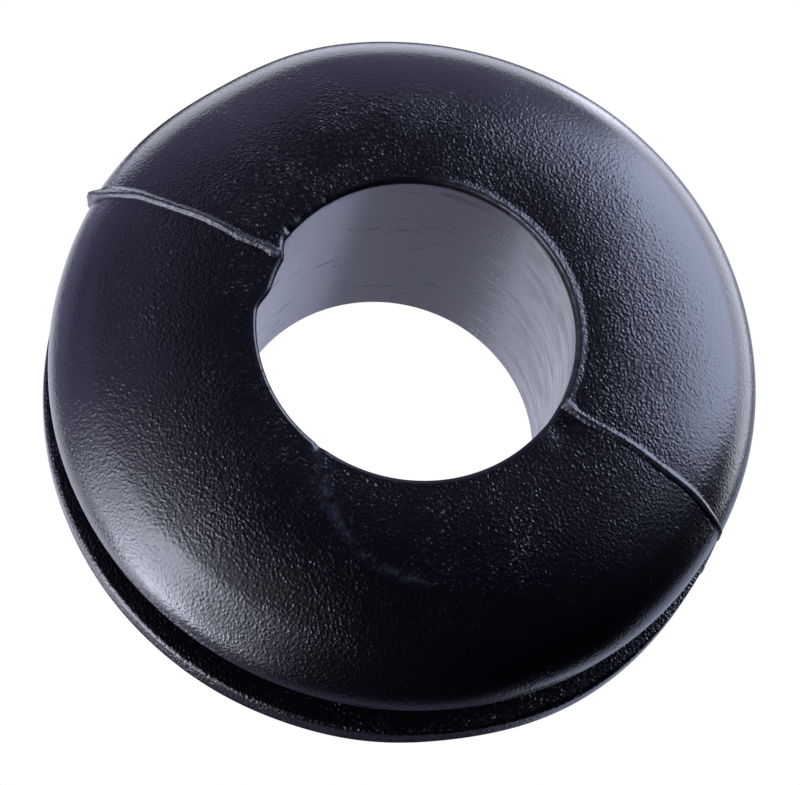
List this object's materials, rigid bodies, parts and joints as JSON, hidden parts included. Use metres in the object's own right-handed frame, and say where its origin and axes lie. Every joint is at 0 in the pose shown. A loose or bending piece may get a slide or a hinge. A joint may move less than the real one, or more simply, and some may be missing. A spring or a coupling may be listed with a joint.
{
  "type": "rubber grommet",
  "caption": "Round moulded rubber grommet: a waist groove grips the edge of a panel hole between domed flanges, and a cable passes through the plain bore.",
  "frame": {"origin": "on the bore's axis, halfway across the panel groove", "axes": "+Z along the bore; the mould's parting plane, with its ridges of flash, is the XZ plane, so +X points at one ridge"},
  "size_m": [0.0144, 0.0142, 0.0064],
  "materials": {
    "black_rubber": "satin moulded rubber with a fine spark-eroded grain"
  },
  "bodies": {
    "root": {"grommet": "black_rubber"}
  },
  "joints": []
}
